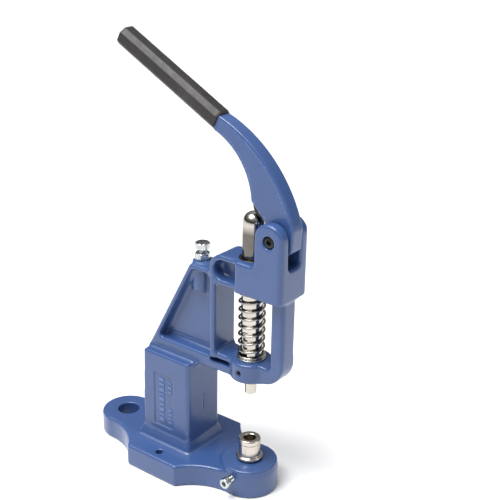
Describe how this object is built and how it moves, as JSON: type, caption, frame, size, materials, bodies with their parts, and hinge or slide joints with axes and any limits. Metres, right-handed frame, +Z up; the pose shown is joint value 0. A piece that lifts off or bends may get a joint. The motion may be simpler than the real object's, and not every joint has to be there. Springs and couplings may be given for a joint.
{
  "type": "arbor press",
  "caption": "Bench hand press for eyelets and snaps: blue cast frame, domed ram with return spring, roller lever with black grip, die holder, stop bolt and base lugs.",
  "frame": {"origin": "on the flat underside of the base, straight below the ram's axis", "axes": "+Z up along the ram, -Y towards the free front of the base where the dies are loaded, +Y towards the rear lug, X across; the press is symmetric about X = 0 except for its screws"},
  "size_m": [0.103, 0.232, 0.4189],
  "materials": {
    "blue_paint": "satin enamel over cast iron",
    "bronze": "turned",
    "plated_seat": "bright plated",
    "black_oxide": "black oxide on steel",
    "zinc": "bright zinc plate",
    "nickel": "polished nickel plate",
    "spring_wire": "bright nickel plated wire",
    "grip_black": "matte charcoal sleeve"
  },
  "bodies": {
    "frame": {"frame_casting": "blue_paint", "upper_guide_bush": "bronze", "lower_guide_bush": "plated_seat", "ram_key_screw": "black_oxide", "stop_lock_nut": "zinc", "pivot_bolt": "black_oxide", "pivot_nut": "black_oxide", "thrust_washers": "zinc", "lower_die_holder": "nickel"},
    "ram_slider": {"ram": "nickel", "spring_collar": "zinc", "retaining_ring": "black_oxide", "return_spring": "spring_wire"},
    "lever": {"handle_lever": "blue_paint", "pivot_bush": "bronze", "roller_pin": "zinc", "grip": "grip_black"},
    "stop_bolt": {"stop_bolt": "zinc"},
    "clamp_screw": {"die_clamp_screw": "zinc"},
    "roller": {"cam_roller": "black_oxide"}
  },
  "joints": [
    {"name": "handle_swing", "type": "hinge", "parent": "frame", "child": "lever", "pos_m": [0, -0.03, 0.262], "axis": [-1, 0, 0], "range_deg": [0, 65], "stiffness_Nm_per_rad": 2.8, "springref_deg": -28.65},
    {"name": "ram_slide", "type": "slide", "parent": "frame", "child": "ram_slider", "axis": [0, 0, -1], "range_m": [0, 0.0337], "deforming": ["return_spring"]},
    {"name": "stop_bolt_height", "type": "slide", "parent": "frame", "child": "stop_bolt", "axis": [0, 0, 1], "range_m": [-0.003, 0.003]},
    {"name": "clamp_screw_turn", "type": "hinge", "parent": "frame", "child": "clamp_screw", "pos_m": [-0.03, 0, 0.0185], "axis": [-1, 0, 0], "continuous": true},
    {"name": "roller_spin", "type": "hinge", "parent": "lever", "child": "roller", "pos_m": [0, -0.0126, 0.2864], "axis": [1, 0, 0], "continuous": true}
  ],
  "couplings": [
    {"joint": "ram_slide", "follows": "handle_swing", "m_per_rad": 0.0296}
  ]
}
